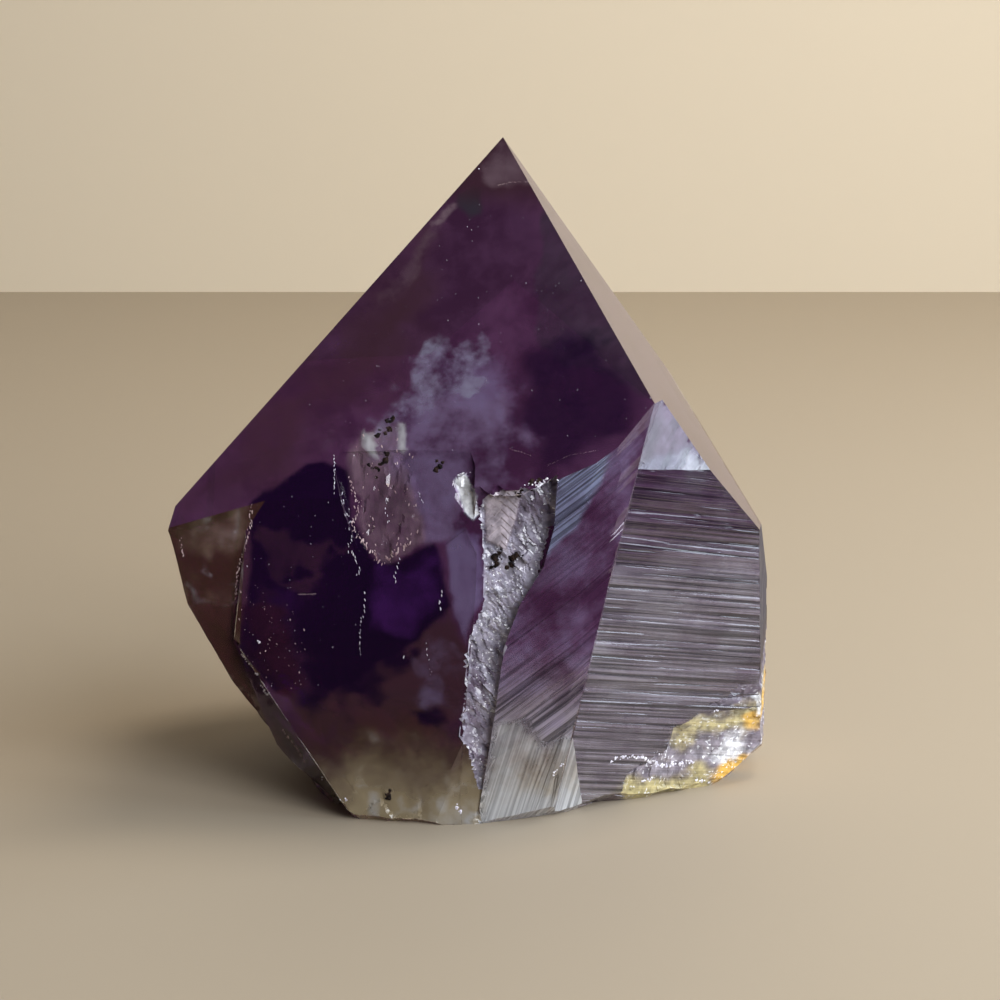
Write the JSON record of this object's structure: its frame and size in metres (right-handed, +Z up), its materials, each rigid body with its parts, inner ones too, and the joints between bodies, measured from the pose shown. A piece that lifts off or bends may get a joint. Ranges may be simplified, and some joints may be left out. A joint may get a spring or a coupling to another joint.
{
  "type": "amethyst crystal point",
  "caption": "Squat semi-polished purple quartz point with a striated right flank, a crushed front corner and a flat base.",
  "frame": {"origin": "middle of the part's footprint box, on the plane it rests on", "axes": "+Z up towards the polished point, -Y towards the front, +X towards the striated second crystal"},
  "size_m": [0.073, 0.0596, 0.0785],
  "materials": {
    "amethyst": "clear violet quartz, polished on the point, natural striated and broken faces below, cloudy pale base with rusty stains"
  },
  "bodies": {
    "root": {"amethyst_point": "amethyst"}
  },
  "joints": []
}
